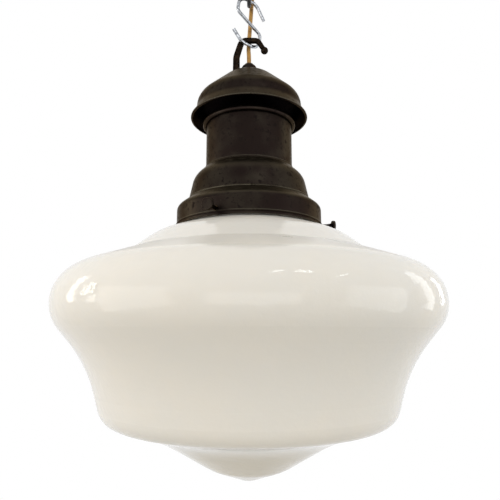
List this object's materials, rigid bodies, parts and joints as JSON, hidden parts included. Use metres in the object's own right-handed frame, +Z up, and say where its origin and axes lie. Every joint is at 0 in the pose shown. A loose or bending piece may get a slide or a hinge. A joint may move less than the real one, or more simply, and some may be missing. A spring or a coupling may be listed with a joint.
{
  "type": "pendant light",
  "caption": "Pendant light with an opaline glass shade in stepped curves, a bronzed gallery, neck and vented cap, hung by a crook and an S hook from a ceiling plate.",
  "frame": {"origin": "centre of the ceiling plate's screw circle, in the flange's top face, on the ceiling", "axes": "+Z up along the lamp's own axis, +X to the right across the front view, +Y away from the viewer; the lamp hangs below z = 0"},
  "size_m": [0.4053, 0.4054, 0.5829],
  "materials": {
    "bronze": "dark bronzed patina, worn lighter along the edges",
    "screw_bronze": "dark bronzed",
    "wrought_iron": "brown-black, hand worked",
    "black_steel": "black lacquer",
    "bright_steel": "plain",
    "zinc_wire": "bright zinc plate",
    "brass": "plain",
    "gold_flex": "braided silk look",
    "dark_fibre": "matt",
    "core_sleeve": "matt",
    "opal_glass": "glossy opaline, milky",
    "porcelain": "glazed",
    "bulb_cap": "plain",
    "frosted_glass": "frosted"
  },
  "bodies": {
    "ceiling": {"ceiling_plate": "black_steel", "ceiling_hook": "black_steel", "ceiling_hook_nut": "bright_steel", "plate_cord_bush": "dark_fibre", "flex_upper": "gold_flex"},
    "s_hook": {"s_hook": "zinc_wire"},
    "lamp": {"flex_lower": "gold_flex", "flex_in_tube": "gold_flex", "crook_arm": "wrought_iron", "gland_nut": "bronze", "gland_cord_bush": "dark_fibre", "threaded_tube": "brass", "spacer_tube": "bronze", "vent_cap": "bronze", "neck_tube": "bronze", "bridge_bar": "bright_steel", "bridge_washer": "bright_steel", "bridge_nut": "brass", "earth_terminal": "brass", "bell": "bronze", "gallery_skirt": "bronze", "thumbscrew_nuts": "brass", "glass_shade": "opal_glass", "holder_cap": "brass", "holder_shell": "brass", "holder_insulator": "porcelain", "holder_liner": "brass", "holder_contact": "brass", "holder_terminals": "brass", "core_wires": "core_sleeve", "bulb_cap": "bulb_cap", "bulb_glass": "frosted_glass"},
    "screw_1": {"thumbscrew_1": "screw_bronze"},
    "screw_2": {"thumbscrew_2": "screw_bronze"},
    "screw_3": {"thumbscrew_3": "screw_bronze"}
  },
  "joints": [
    {"name": "s_hook_swing", "type": "hinge", "parent": "ceiling", "child": "s_hook", "pos_m": [0, 0, -0.0421], "axis": [0, 1, 0], "range_deg": [-20, 20], "deforming": ["flex_upper"]},
    {"name": "lamp_swing", "type": "hinge", "parent": "s_hook", "child": "lamp", "pos_m": [0, 0, -0.09595], "axis": [0.788, 0.6157, 0], "range_deg": [-20, 20], "deforming": ["flex_lower"]},
    {"name": "screw_1_travel", "type": "slide", "parent": "lamp", "child": "screw_1", "axis": [0.9945, 0.1045, 0], "range_m": [0, 0.005]},
    {"name": "screw_2_travel", "type": "slide", "parent": "lamp", "child": "screw_2", "axis": [-0.5878, 0.809, 0], "range_m": [0, 0.005]},
    {"name": "screw_3_travel", "type": "slide", "parent": "lamp", "child": "screw_3", "axis": [-0.4067, -0.9135, 0], "range_m": [0, 0.005]}
  ]
}
